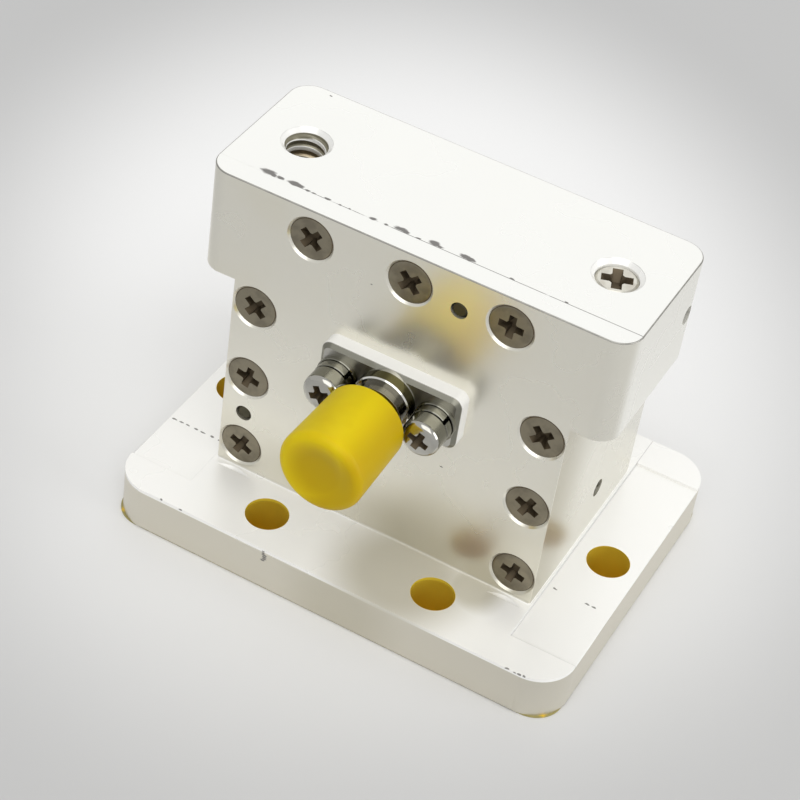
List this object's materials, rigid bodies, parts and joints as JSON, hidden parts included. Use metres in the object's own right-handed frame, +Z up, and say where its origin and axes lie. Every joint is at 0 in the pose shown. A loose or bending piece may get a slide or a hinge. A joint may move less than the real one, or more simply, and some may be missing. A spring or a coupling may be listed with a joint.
{
  "type": "waveguide to coaxial adapter",
  "caption": "Right-angle rectangular waveguide to coaxial adapter: T-headed split block on a drilled flange, with a plate-mounted coaxial jack under a push-on dust cap.",
  "frame": {"origin": "centre of the underside that the adapter stands on, on the waveguide's axis", "axes": "+X to the right along the broad side of the waveguide, +Y away from the coaxial jack, +Z up along the waveguide from the mating face"},
  "size_m": [0.0534, 0.0466, 0.0424],
  "materials": {
    "block": "matt white silver plate",
    "screw": "satin",
    "bright": "polished",
    "insulator": "matte",
    "contact": "gold plate",
    "cap": "soft satin",
    "film": "satin film"
  },
  "bodies": {
    "adapter": {"main_block": "block", "front_cover": "block", "cover_screws": "screw", "dowel_pins": "screw", "side_pins": "screw", "top_plug_screw": "bright", "coax_shell": "bright", "coax_insulator": "insulator", "center_contact": "contact", "launch_probe": "contact", "connector_screws": "bright", "spring_washers": "bright", "flat_washers": "bright", "protective_film": "film"},
    "cap": {"dust_cap": "cap"}
  },
  "joints": [
    {"name": "cap_pull", "type": "slide", "parent": "adapter", "child": "cap", "axis": [0, -1, 0], "range_m": [0, 0.012]}
  ]
}
